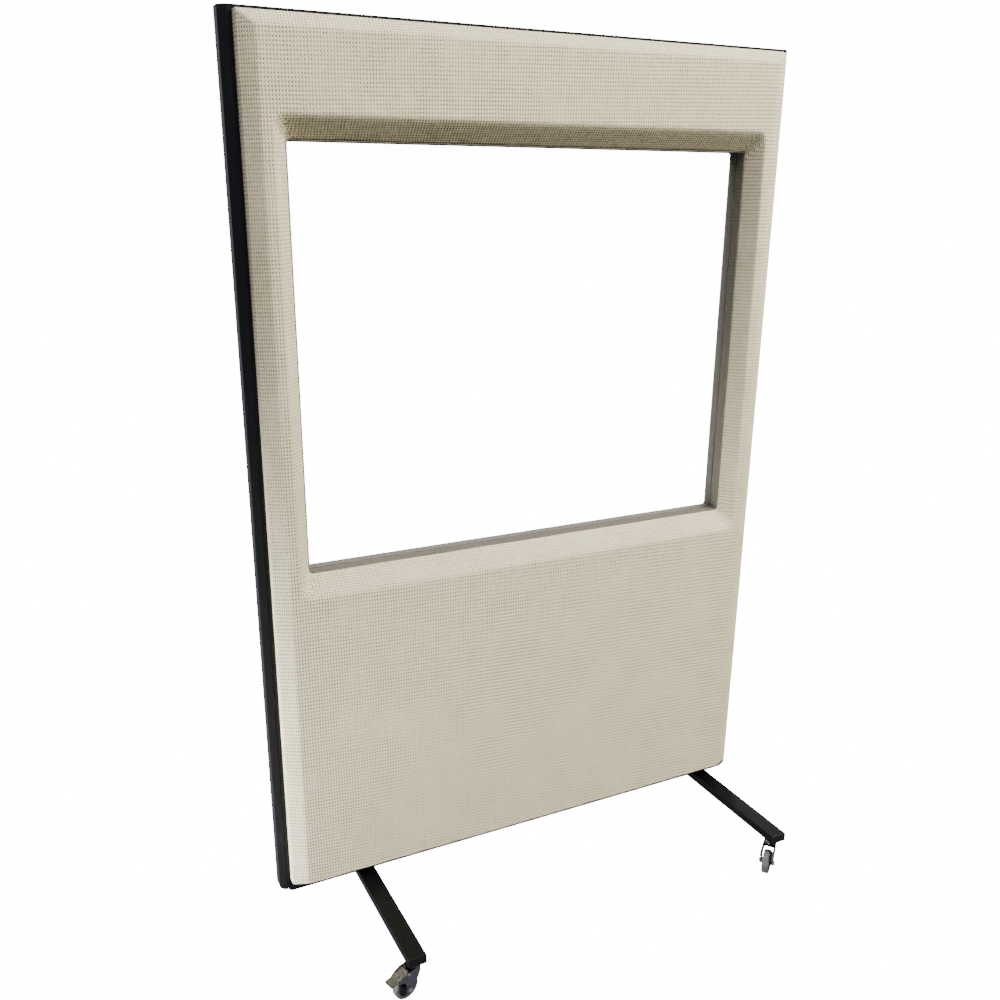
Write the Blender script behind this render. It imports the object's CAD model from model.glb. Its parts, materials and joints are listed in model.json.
"""Looks of the acoustic screen: fabric pads, black core and profiles, window, feet and castors.

Metres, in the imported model's frame: origin on the floor under the core, +Z up, and the seen face
towards -Y.
"""
import json
import math

import bpy
from mathutils import Euler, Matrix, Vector, noise


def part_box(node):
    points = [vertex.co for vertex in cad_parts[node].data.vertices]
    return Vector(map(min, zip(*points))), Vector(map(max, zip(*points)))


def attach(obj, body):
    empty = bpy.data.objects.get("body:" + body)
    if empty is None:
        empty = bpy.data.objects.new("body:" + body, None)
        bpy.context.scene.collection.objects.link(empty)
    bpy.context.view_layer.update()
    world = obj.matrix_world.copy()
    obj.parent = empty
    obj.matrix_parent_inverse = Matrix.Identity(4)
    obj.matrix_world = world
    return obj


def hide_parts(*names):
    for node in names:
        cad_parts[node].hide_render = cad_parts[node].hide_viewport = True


MM = 0.001
FRONT, REAR = -1, 1

# Camera, fitted to the photograph's outline of the panel and feet
IMAGE = 1000
SENSOR = 36
FOCAL_PX = 990.5
CENTRE_PX = (481.0, 522.8)
CAMERA_AT = (-1.0315, -1.892, 1.6007)
CAMERA_TURN = (71.882, -0.137, -25.725)

# Pad, as in the CAD model: its upright edge and the widths of the bevels towards its outline
PAD_EDGE = 17 * MM
BEVEL_SIDE = 32 * MM
BEVEL_TOP = 24 * MM
BEVEL_BOTTOM = 2 * MM
# Its bevels towards the window, and the upright lip at their foot
REVEAL_SIDE = 26 * MM
REVEAL_TOP = 38 * MM
REVEAL_SILL = 43 * MM
PAD_LIP = 1.5 * MM
# Its corner radii seen from the front, at the left and right of the outline, on the face and
# at the window
PAD_LEFT_R = 4 * MM
PAD_RIGHT_R = 12 * MM
PAD_FACE_R = 6 * MM
WINDOW_R = 9 * MM
# Room round the backer in the pad's pocket, the window lining's thickness, and how far the pad's
# face and the glazing beads stand from the screen's middle
BACKER_GAP = 0.3 * MM
LINING = 6 * MM
PAD_FACE = 57 * MM
BEAD_DEPTH = 25 * MM

# How far the fabric bends at the pad's rim, at the fold to its face and at the window's fold
RIM_BEND = 4 * MM
FOLD_BEND = 5 * MM
REVEAL_BEND = 9 * MM
# How far in the face's own loops start, in widths of the outer and of the window's bevel
FACE_FROM_RIM = 1.3
FACE_FROM_WINDOW = 1.25
# Waves of the taut cover: how many per metre across and up, the noise's layer, and the height in mm
WAVES = ((3.1, 2.3, 0.7, 0.9), (9.0, 6.0, 4.2, 0.25))
# Steps of the cover's mesh: round a corner, along and up a side, across the face, and in a bend
CORNER_STEPS = 8
WIDE_STEPS = 64
TALL_STEPS = 72
FACE_RINGS = 26
BEND_STEPS = 6

# Weave of the fabric: its rows lie wider apart below the window, and fan out a little
ROW_PITCH = 7.4 * MM
YARN_PITCH = 6.0 * MM
WIDE_ROWS_BELOW = 0.9
WIDE_ROWS = 0.13
FAN_LEVEL = 1.3
FAN = 0.07

# Core's outline, whose timber edges are painted
CORE_MIDDLE = 1014 * MM
CORE_HALF_H = 900 * MM
CORE_HALF_W = 610 * MM

# Radiance of the room as the object sees it, and of the backdrop and floor as the camera sees them
ROOM_LIGHT = 0.46
BACKDROP_LIGHT = 20.0
FLOOR_LIGHT = 18.0
ROOM_COLOUR = (0.94, 0.95, 1.15)
KEY_COLOUR = (1.0, 0.95, 0.84)
# The room grows lighter with the height that a ray points to: from a tone at a first height, once
# for diffuse and once for glossy rays, to full light at the last height
DIFFUSE_ROOM = (0.25, 0.03)
GLOSSY_ROOM = (-0.3, 0.8)
FULL_ROOM = 0.9
# Where the key light stands, and the point that it faces
KEY_AT = (3.2, -2.7, 4.5)
KEY_TOWARDS = (0.35, 0, 1.2)
# How far the floor reaches to each side
FLOOR_REACH = 40.0


class Wire:
    """One value in a node tree. Arithmetic on it adds Math nodes."""

    def __init__(self, nodes, socket):
        self.nodes = nodes
        self.socket = socket

    def math(self, operation, *others):
        """A Math node on this value and the others."""
        inputs = dict(enumerate((self,) + others))
        return self.nodes.add("ShaderNodeMath", inputs, operation=operation)

    def __add__(self, other):
        return self.math("ADD", other)

    def __sub__(self, other):
        return self.math("SUBTRACT", other)

    def __rsub__(self, other):
        return self.nodes.add("ShaderNodeMath", {0: other, 1: self}, operation="SUBTRACT")

    def __mul__(self, other):
        return self.math("MULTIPLY", other)

    __radd__ = __add__
    __rmul__ = __mul__

    def wave(self, pitch):
        """A cosine between 0 and 1 that repeats every pitch."""
        return (self * (2 * math.pi / pitch)).math("COSINE") * 0.5 + 0.5

    def step(self, low, high):
        """Rises smoothly from 0 at low to 1 at high."""
        return self.nodes.add(
            "ShaderNodeMapRange",
            {"Value": self, "From Min": low, "From Max": high},
            interpolation_type="SMOOTHSTEP",
        )


class Nodes:
    """A node tree."""

    def __init__(self, tree):
        self.tree = tree

    def fill(self, node, inputs):
        """Links a node's sockets to wires, or sets them to values."""
        for key, value in inputs.items():
            if isinstance(value, Wire):
                self.tree.links.new(value.socket, node.inputs[key])
            else:
                node.inputs[key].default_value = value

    def add(self, kind, inputs=None, output=0, **settings):
        """Adds a node, with its settings before its sockets, and gives the wire of one output."""
        node = self.tree.nodes.new(kind)
        for key, value in settings.items():
            setattr(node, key, value)
        self.fill(node, inputs or {})
        return Wire(self, node.outputs[output])

    def axes(self, vector):
        """A vector's x, y and z."""
        return [self.add("ShaderNodeSeparateXYZ", {0: vector}, output=axis) for axis in range(3)]


class Shader(Nodes):
    """One material, made of nodes."""

    def __init__(self, name):
        self.material = bpy.data.materials.new(name)
        self.material.use_nodes = True
        super().__init__(self.material.node_tree)

    def place(self):
        """The point on the object, as three wires in metres."""
        return self.axes(self.add("ShaderNodeTexCoord", output="Object"))

    def facing(self):
        """How the surface leans along each axis, from -1 to 1, softly near 0."""
        normal = self.add("ShaderNodeNewGeometry", output="Normal")
        return [part.step(-0.35, 0.35) * 2.0 - 1.0 for part in self.axes(normal)]

    def noise(self, scale, detail=2.0, roughness=0.5, stretch=(1, 1, 1)):
        """Noise between 0 and 1, with features about 1/scale metres across."""
        point = self.add("ShaderNodeTexCoord", output="Object")
        spread = self.add("ShaderNodeMapping", {"Vector": point, "Scale": stretch})
        return self.add(
            "ShaderNodeTexNoise",
            {"Vector": spread, "Scale": scale, "Detail": detail, "Roughness": roughness},
            output="Fac",
        )

    def mix(self, factor, first, second):
        """A colour between first and second."""
        inputs = {"Factor": factor, 6: first, 7: second}
        return self.add("ShaderNodeMix", inputs, output=2, data_type="RGBA")

    def bump(self, height, distance, strength):
        """A normal for a surface that rises by up to distance."""
        inputs = {"Height": height, "Distance": distance, "Strength": strength}
        return self.add("ShaderNodeBump", inputs)

    def finish(self, **values):
        """Feeds the material's own sockets, named with _ for a space, and gives the material."""
        sockets = {key.replace("_", " "): value for key, value in values.items()}
        self.fill(self.tree.nodes["Principled BSDF"], sockets)
        return self.material


def rgb(r, g, b):
    """A colour."""
    return (r, g, b, 1.0)


def grey(tone):
    """A colour without a hue."""
    return rgb(tone, tone, tone)


def weave(s):
    """Wires of the open weave: gaps between yarns, lines between rows, slubs and cloth height."""
    x, y, z = s.place()
    # The yarns wander a little, and on a bevel their pitch follows the slope
    drift = s.noise(9.0, 1.0) * (2.2 * MM) + s.noise(45.0, 1.0) * (1.5 * MM)
    depth = PAD_FACE - y.math("ABSOLUTE")
    lean_x, _, lean_z = s.facing()
    below = (z - WIDE_ROWS_BELOW).math("MINIMUM", 0.0)
    across = x + lean_x * depth + drift
    up = z + lean_z * depth - below * WIDE_ROWS + x * (FAN_LEVEL - z) * FAN + drift
    # The yarns sway a little to the side within each row
    row = up.wave(ROW_PITCH)
    yarn = (across + row * (0.3 * YARN_PITCH)).wave(YARN_PITCH)
    # Gaps differ from patch to patch and from one to the next
    patch = s.noise(11.0, 3.0).step(0.3, 0.7) * 0.7 + 0.3
    speck = s.noise(240.0, 2.0, stretch=(0.6, 1, 1)).step(0.3, 0.65) * 0.65 + 0.35
    gap = row.step(0.4, 0.95) * yarn.step(0.2, 0.9) * patch * speck
    # Thin lines run on between the gaps, along the rows and up the yarns
    along = row.step(0.35, 1.0) * (s.noise(60.0, 2.0, stretch=(0.15, 1, 1)) * 0.8 + 0.2)
    upright = yarn.step(0.4, 1.0) * (s.noise(70.0, 2.0, stretch=(1, 1, 0.15)) * 1.7)
    line = along * 0.4 + upright
    slub = s.noise(170.0, 3.0, stretch=(0.22, 1, 1.6))
    # Four fine threads make up each row and each yarn
    fine = across.wave(YARN_PITCH / 4) * 0.3 + up.wave(ROW_PITCH / 4) * 0.3
    height = (1.0 - gap) * 0.9 + (1.0 - line) * 0.5 + fine * 0.35 + slub * 0.6
    return gap, line, slub, height


def woven_fabric(name):
    """Cream open weave: rows of small dark gaps between thick yarns, slubs and a soft sheen."""
    s = Shader(name)
    gap, line, slub, height = weave(s)
    shade = gap * 1.05 + line * 0.34 + slub * 0.34
    base = s.mix(shade, rgb(0.92, 0.845, 0.58), rgb(0.18, 0.155, 0.1))
    patches = s.noise(2.4, 3.0).step(0.35, 0.75)
    return s.finish(
        Base_Color=s.mix(patches * 0.14, base, rgb(0.7, 0.64, 0.45)),
        Roughness=slub * 0.1 + 0.86,
        Normal=s.bump(height, 0.7 * MM, 0.9),
        Sheen_Weight=0.12,
        Sheen_Roughness=0.5,
        Specular_IOR_Level=0.2,
    )


def taupe_lining(name):
    """Taupe trim round the window in the pads' weave, darker on the sill and on the beads."""
    s = Shader(name)
    gap, line, slub, height = weave(s)
    shade = gap * 0.8 + line * 0.25 + slub * 0.3
    base = s.mix(shade, rgb(0.31, 0.29, 0.235), rgb(0.11, 0.1, 0.076))
    from_pane = s.place()[1].math("ABSOLUTE")
    bead = 1.0 - from_pane.step(BEAD_DEPTH - MM, BEAD_DEPTH + MM)
    sill = s.facing()[2].step(0.0, 1.0)
    return s.finish(
        Base_Color=s.mix(bead * 0.55 + sill * 0.35, base, rgb(0.1, 0.093, 0.075)),
        Roughness=slub * 0.1 + 0.88,
        Normal=s.bump(height, 0.5 * MM, 0.8),
        Specular_IOR_Level=0.05,
    )


def black_laminate(name):
    """Satin black board face and sawn edge."""
    s = Shader(name)
    grain = s.noise(900.0)
    smudge = s.noise(7.0, 3.0)
    return s.finish(
        Base_Color=s.mix(smudge * 0.5, grey(0.006), rgb(0.014, 0.014, 0.015)),
        Roughness=smudge.step(0.3, 0.7) * 0.14 + 0.38,
        Normal=s.bump(grain, 0.05 * MM, 0.4),
        Specular_IOR_Level=0.2,
    )


def gloss_profile(name):
    """Black extrusion: glossy, with faint drawing lines along its length, and a little dust."""
    s = Shader(name)
    lines = s.noise(420.0, stretch=(1, 1, 0.004))
    dust = s.noise(30.0, 4.0, stretch=(1, 1, 0.3))
    return s.finish(
        Base_Color=s.mix(dust.step(0.5, 0.8) * 0.2, grey(0.006), grey(0.022)),
        Roughness=dust * 0.05 + 0.24,
        Normal=s.bump(lines, 0.03 * MM, 0.4),
        Specular_IOR_Level=0.25,
    )


def black_plastic(name):
    """Black satin plastic of the end caps, with a moulded grain."""
    s = Shader(name)
    grain = s.noise(1500.0)
    return s.finish(
        Base_Color=s.mix(grain * 0.4, grey(0.003), grey(0.009)),
        Roughness=grain * 0.15 + 0.4,
        Normal=s.bump(grain, 0.05 * MM, 0.5),
        Specular_IOR_Level=0.25,
    )


def powder_coat(name):
    """Black powder-coated steel: fine orange peel, slightly rubbed."""
    s = Shader(name)
    peel = s.noise(700.0)
    rub = s.noise(18.0, 4.0)
    return s.finish(
        Base_Color=s.mix(rub.step(0.55, 0.8) * 0.5, grey(0.003), grey(0.009)),
        Roughness=rub * 0.15 + 0.36,
        Normal=s.bump(peel, 0.06 * MM, 0.5),
        Specular_IOR_Level=0.1,
    )


def clear_pane(name):
    """Clear glazing: almost nothing but a faint tint and a soft reflection."""
    s = Shader(name)
    s.material.surface_render_method = "BLENDED"
    wipe = s.noise(5.0, 3.0, stretch=(1, 1, 0.4))
    return s.finish(
        Base_Color=rgb(0.95, 0.98, 0.97),
        Roughness=wipe.step(0.5, 0.8) * 0.03 + 0.02,
        Alpha=wipe * 0.02 + 0.04,
        Specular_IOR_Level=0.3,
    )


def pale_timber(name):
    """Sawn timber, painted black where the core's outer edge shows."""
    s = Shader(name)
    x, _, z = s.place()
    grain = s.noise(60.0, 4.0, stretch=(0.06, 1, 1))
    paint = (z - CORE_MIDDLE).math("ABSOLUTE").step(CORE_HALF_H - MM, CORE_HALF_H - 0.5 * MM)
    paint = paint + x.math("ABSOLUTE").step(CORE_HALF_W - MM, CORE_HALF_W - 0.5 * MM)
    wood = s.mix(grain.step(0.35, 0.7), rgb(0.56, 0.42, 0.26), rgb(0.42, 0.29, 0.16))
    return s.finish(
        Base_Color=s.mix(paint, wood, grey(0.008)),
        Roughness=grain * 0.2 + 0.6,
        Normal=s.bump(grain, 0.2 * MM, 0.5),
    )


def brown_board(name):
    """Hardboard of the backers inside the pads."""
    s = Shader(name)
    fibre = s.noise(300.0, 4.0)
    return s.finish(
        Base_Color=s.mix(fibre, rgb(0.22, 0.13, 0.07), rgb(0.32, 0.21, 0.12)),
        Roughness=fibre * 0.1 + 0.7,
        Normal=s.bump(fibre, 0.1 * MM, 0.4),
    )


def fibre_slab(name):
    """Acoustic slab of matted fibres, inside the core."""
    s = Shader(name)
    fibre = s.noise(220.0, 5.0, 0.7, stretch=(0.4, 1, 1))
    return s.finish(
        Base_Color=s.mix(fibre, rgb(0.5, 0.44, 0.26), rgb(0.66, 0.6, 0.4)),
        Roughness=fibre * 0.05 + 0.92,
        Normal=s.bump(fibre, 1.0 * MM, 0.6),
    )


def bright_chrome(name):
    """Polished plating with faint pressing marks."""
    s = Shader(name)
    haze = s.noise(90.0, 4.0)
    return s.finish(
        Base_Color=s.mix(haze * 0.4, rgb(0.19, 0.19, 0.195), rgb(0.12, 0.12, 0.125)),
        Metallic=1.0,
        Roughness=haze.step(0.35, 0.75) * 0.16 + 0.12,
        Normal=s.bump(haze, 0.05 * MM, 0.25),
    )


def zinc_steel(name):
    """Bright zinc on the bolts, pins, screws and nuts."""
    s = Shader(name)
    haze = s.noise(150.0, 3.0)
    return s.finish(
        Base_Color=s.mix(haze * 0.5, grey(0.6), rgb(0.42, 0.42, 0.43)),
        Metallic=1.0,
        Roughness=haze * 0.2 + 0.25,
    )


def grey_rubber(name):
    """Grey tyre with dust on its tread."""
    s = Shader(name)
    dust = s.noise(260.0, 4.0)
    return s.finish(
        Base_Color=s.mix(dust.step(0.35, 0.75), grey(0.07), rgb(0.14, 0.138, 0.13)),
        Roughness=dust * 0.15 + 0.6,
        Normal=s.bump(dust, 0.15 * MM, 0.5),
    )


def hub_plastic(name):
    """Dark grey plastic of the wheel hubs."""
    s = Shader(name)
    grain = s.noise(800.0)
    return s.finish(
        Base_Color=s.mix(grain * 0.5, grey(0.03), grey(0.06)),
        Roughness=grain * 0.1 + 0.5,
        Normal=s.bump(grain, 0.06 * MM, 0.4),
    )


def studio_floor(name):
    """Pale lit floor."""
    s = Shader(name)
    cloud = s.noise(3.0)
    return s.finish(
        Base_Color=s.mix(cloud, grey(0.93), grey(0.95)),
        Roughness=cloud * 0.1 + 0.8,
        Specular_IOR_Level=0.0,
        Emission_Color=grey(1.0),
        Emission_Strength=FLOOR_LIGHT,
    )


FINISHES = {
    "timber": pale_timber,
    "infill": fibre_slab,
    "board": black_laminate,
    "profile": gloss_profile,
    "black_plastic": black_plastic,
    "lining": taupe_lining,
    "pane": clear_pane,
    "backer": brown_board,
    "pad": woven_fabric,
    "foot_paint": powder_coat,
    "zinc_steel": zinc_steel,
    "chrome": bright_chrome,
    "tyre": grey_rubber,
    "hub": hub_plastic,
}


def dress_nodes(frame, materials):
    """Gives every CAD node the material of its slot."""
    for part in frame["record"]["subparts"]:
        mesh = frame["nodes"][part["node"]].data
        mesh.materials.clear()
        mesh.materials.append(materials[part["material_slot"]])


def between(a, b, share):
    """The point (x, z) at a share of the way from a to b."""
    return (a[0] + (b[0] - a[0]) * share, a[1] + (b[1] - a[1]) * share)


def rounded_loop(left, right, low, high, r_left, r_right):
    """Points (x, z) round a rectangle with rounded corners, always as many and in one order."""
    def arc(cx, cz, r, start):
        turns = [math.radians(start + 90 * i / CORNER_STEPS) for i in range(CORNER_STEPS + 1)]
        return [(cx + r * math.cos(a), cz + r * math.sin(a)) for a in turns]

    corners = [
        arc(right - r_right, low + r_right, r_right, 270),
        arc(right - r_right, high - r_right, r_right, 0),
        arc(left + r_left, high - r_left, r_left, 90),
        arc(left + r_left, low + r_left, r_left, 180),
    ]
    loop = []
    for i, corner in enumerate(corners):
        steps = TALL_STEPS if i % 2 == 0 else WIDE_STEPS
        ahead = corners[(i + 1) % 4][0]
        loop += corner
        loop += [between(corner[-1], ahead, k / steps) for k in range(1, steps)]
    return loop


def rounded_path(points, bends):
    """A path of (s, d) points whose inner corners are rounded over the bends' lengths."""
    path = [points[0]]
    for before, corner, after, reach in zip(points, points[1:], points[2:], bends):
        a, b, c = Vector(before), Vector(corner), Vector(after)
        start = b + (a - b) * min(0.5, reach / (a - b).length)
        end = b + (c - b) * min(0.5, reach / (c - b).length)
        for i in range(BEND_STEPS + 1):
            k = i / BEND_STEPS
            path.append(tuple(start.lerp(b, k).lerp(b.lerp(end, k), k)))
    path.append(points[-1])
    return path


class Pad:
    """Sizes of one pad, read from its CAD solid and its neighbours.

    Its cover is a stack of closed loops with the same number of points: from the back, over the
    outer bevel, across the face, down the window's bevel and round the backer's pocket.
    """

    def __init__(self, node, backer):
        low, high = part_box(node)
        back_low, back_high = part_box(backer)
        hole_low, hole_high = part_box("window_lining")
        self.low, self.high = low, high
        self.depth = high.y - low.y
        self.side = FRONT if low.y < 0 else REAR
        self.seat = high.y if self.side == FRONT else low.y
        self.window = (
            hole_low.x + LINING, hole_high.x - LINING, hole_low.z + LINING, hole_high.z - LINING,
        )
        self.pocket = back_high.y - back_low.y + BACKER_GAP
        self.inset = back_low.x - low.x - BACKER_GAP

    def outer(self, t):
        """The outer outline, drawn in by t times the bevel's width."""
        rim = max(0.0, 1 - t)
        return rounded_loop(
            self.low.x + t * BEVEL_SIDE, self.high.x - t * BEVEL_SIDE,
            self.low.z + t * BEVEL_BOTTOM, self.high.z - t * BEVEL_TOP,
            PAD_FACE_R + rim * (PAD_LEFT_R - PAD_FACE_R),
            PAD_FACE_R + rim * (PAD_RIGHT_R - PAD_FACE_R),
        )

    def inner(self, t):
        """The window's outline, opened out by t times the window bevel's width."""
        left, right, low, high = self.window
        r = WINDOW_R + t * REVEAL_SIDE / 2
        return rounded_loop(
            left - t * REVEAL_SIDE, right + t * REVEAL_SIDE,
            low - t * REVEAL_SILL, high + t * REVEAL_TOP, r, r,
        )

    def loops(self):
        """Every loop as (points, distance from the core's face)."""
        d = self.depth
        outer_path = rounded_path(
            [(0.0, 0.0), (0.0, PAD_EDGE), (BEVEL_SIDE, d), (FACE_FROM_RIM * BEVEL_SIDE, d)],
            (RIM_BEND, FOLD_BEND),
        )
        inner_path = rounded_path(
            [(FACE_FROM_WINDOW * REVEAL_SIDE, d), (REVEAL_SIDE, d), (0.0, PAD_LIP), (0.0, 0.0)],
            (REVEAL_BEND, PAD_LIP),
        )
        outer = [(self.outer(s / BEVEL_SIDE), y) for s, y in outer_path]
        inner = [(self.inner(s / REVEAL_SIDE), y) for s, y in inner_path]
        face = [
            ([between(a, b, i / FACE_RINGS) for a, b in zip(outer[-1][0], inner[0][0])], d)
            for i in range(1, FACE_RINGS)
        ]
        left, right, low, high = self.window
        i = self.inset
        hole = rounded_loop(left - i, right + i, low - i, high + i, WINDOW_R, WINDOW_R)
        rim = rounded_loop(
            self.low.x + i, self.high.x - i, self.low.z + i, self.high.z - i,
            PAD_LEFT_R, PAD_RIGHT_R,
        )
        back = [(hole, 0.0), (hole, self.pocket), (rim, self.pocket), (rim, 0.0)]
        return outer + face + inner + back

    def point(self, x, z, d):
        """A loop's point in space, with the cover's waves where it is in sight."""
        out = d + (self.swell(x, z, d) if d > self.pocket + MM else 0.0)
        return (x, self.seat + self.side * out, z)

    def swell(self, x, z, d):
        """How far the taut cover stands out at a point: slow waves, strongest on the face."""
        share = min(1.0, d / self.depth)
        waves = sum(
            height * noise.noise(Vector((x * across, z * up, layer)))
            for across, up, layer, height in WAVES
        )
        return share * waves * MM


def pad_cover(name, node, backer, material):
    """The pad as one closed padded mesh under its stretched fabric."""
    pad = Pad(node, backer)
    loops = pad.loops()
    count = len(loops[0][0])
    points = [pad.point(x, z, d) for loop, d in loops for x, z in loop]
    faces = []
    for i in range(len(loops)):
        a = i * count
        b = (i + 1) % len(loops) * count
        for j in range(count):
            k = (j + 1) % count
            quad = (a + j, a + k, b + k, b + j)
            faces.append(quad if pad.side == FRONT else quad[::-1])
    mesh = bpy.data.meshes.new(name)
    mesh.from_pydata(points, [], faces)
    mesh.materials.append(material)
    for face in mesh.polygons:
        face.use_smooth = True
    mesh.update()
    cover = bpy.data.objects.new(name, mesh)
    bpy.context.scene.collection.objects.link(cover)
    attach(cover, "screen")
    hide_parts(node)


def make_floor():
    """A wide pale floor, which only the camera sees, so that its glow stays off the object."""
    r = FLOOR_REACH
    mesh = bpy.data.meshes.new("floor")
    mesh.from_pydata([(-r, -r, 0), (r, -r, 0), (r, r, 0), (-r, r, 0)], [], [(0, 1, 2, 3)])
    mesh.materials.append(studio_floor("floor_paint"))
    floor = bpy.data.objects.new("floor", mesh)
    floor.visible_diffuse = False
    floor.visible_glossy = False
    bpy.context.scene.collection.objects.link(floor)


def make_world():
    """A white backdrop for the camera, and a dim room for the object, lighter above than below."""
    world = bpy.data.worlds.new("studio")
    world.use_nodes = True
    nodes = Nodes(world.node_tree)
    height = nodes.axes(nodes.add("ShaderNodeTexCoord", output="Generated"))[2]
    diffuse, glossy = [
        nodes.add("ShaderNodeMapRange", {
            "Value": height, "From Min": first, "From Max": FULL_ROOM, "To Min": tone, "To Max": 1.0,
        })
        for first, tone in (DIFFUSE_ROOM, GLOSSY_ROOM)
    ]
    glossy_ray = nodes.add("ShaderNodeLightPath", output="Is Glossy Ray")
    camera_ray = nodes.add("ShaderNodeLightPath", output="Is Camera Ray")
    light = nodes.add("ShaderNodeMix", {"Factor": glossy_ray, 2: diffuse, 3: glossy})
    tinted = nodes.add("ShaderNodeVectorMath", {0: light, 1: ROOM_COLOUR}, operation="MULTIPLY")
    room = nodes.tree.nodes["Background"]
    nodes.fill(room, {"Color": tinted, "Strength": ROOM_LIGHT})
    backdrop = nodes.add("ShaderNodeBackground", {"Strength": BACKDROP_LIGHT})
    both = nodes.add(
        "ShaderNodeMixShader", {0: camera_ray, 1: Wire(nodes, room.outputs[0]), 2: backdrop}
    )
    nodes.fill(nodes.tree.nodes["World Output"], {"Surface": both})
    bpy.context.scene.world = world


def soft_light(name, at, towards, size, power, diffuse=True, glossy=True):
    """A square soft light that faces a point, and gives its lamp.

    Without diffuse it shows only in reflections, and without glossy it stays out of them.
    """
    lamp = bpy.data.lights.new(name, "AREA")
    lamp.size = size
    lamp.energy = power
    light = bpy.data.objects.new(name, lamp)
    light.location = at
    light.rotation_euler = (Vector(towards) - Vector(at)).to_track_quat("-Z", "Y").to_euler()
    light.visible_diffuse = diffuse
    light.visible_glossy = glossy
    bpy.context.scene.collection.objects.link(light)
    return lamp


def make_lights():
    """A warm key from the front right, and weaker lights from the left, above and behind."""
    key = soft_light("key_light", KEY_AT, KEY_TOWARDS, size=2.4, power=770, glossy=False)
    key.color = KEY_COLOUR
    # A weaker copy of the key, for the highlights on chrome
    soft_light("glint_light", KEY_AT, KEY_TOWARDS, size=2.4, power=150, diffuse=False)
    soft_light("fill_light", (-3.2, -2.4, 5.0), (-0.2, 0, 1.1), size=2.2, power=105)
    # Lights the lower part of the left bevel, without a glare on the black profile beside it
    side = soft_light(
        "side_light", (-2.4, -0.2, 0.45), (-0.6, 0, 0.35), size=0.8, power=19, glossy=False
    )
    side.spread = math.radians(50)
    soft_light("top_light", (0.3, -0.5, 4.8), (0, 0, 1.0), size=2.4, power=60, glossy=False)
    soft_light("back_light", (1.9, 4.2, 3.6), (0, 0, 1.1), size=2.6, power=330)


def make_camera():
    """The photograph's camera: its place, turn and focal length, and the shift of its frame."""
    camera = bpy.data.cameras.new("camera")
    camera.sensor_fit = "HORIZONTAL"
    camera.sensor_width = SENSOR
    camera.lens = FOCAL_PX * SENSOR / IMAGE
    camera.shift_x = (IMAGE / 2 - CENTRE_PX[0]) / IMAGE
    camera.shift_y = (CENTRE_PX[1] - IMAGE / 2) / IMAGE
    holder = bpy.data.objects.new("camera", camera)
    holder.location = CAMERA_AT
    holder.rotation_euler = Euler([math.radians(a) for a in CAMERA_TURN], "XYZ")
    bpy.context.scene.collection.objects.link(holder)
    bpy.context.scene.camera = holder


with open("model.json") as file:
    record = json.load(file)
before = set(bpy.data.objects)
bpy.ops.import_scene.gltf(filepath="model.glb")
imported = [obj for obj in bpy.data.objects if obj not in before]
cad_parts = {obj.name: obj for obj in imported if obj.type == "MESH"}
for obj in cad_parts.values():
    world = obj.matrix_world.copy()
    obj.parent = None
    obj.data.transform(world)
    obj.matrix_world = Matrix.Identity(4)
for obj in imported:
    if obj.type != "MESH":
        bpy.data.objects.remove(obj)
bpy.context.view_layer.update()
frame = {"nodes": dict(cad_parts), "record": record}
make_camera()
make_world()
make_lights()
make_floor()
materials = {slot: make(slot + "_finish") for slot, make in FINISHES.items()}
dress_nodes(frame, materials)
pad_cover("front_pad_cover", "front_pad", "front_backer", materials["pad"])
pad_cover("rear_pad_cover", "rear_pad", "rear_backer", materials["pad"])
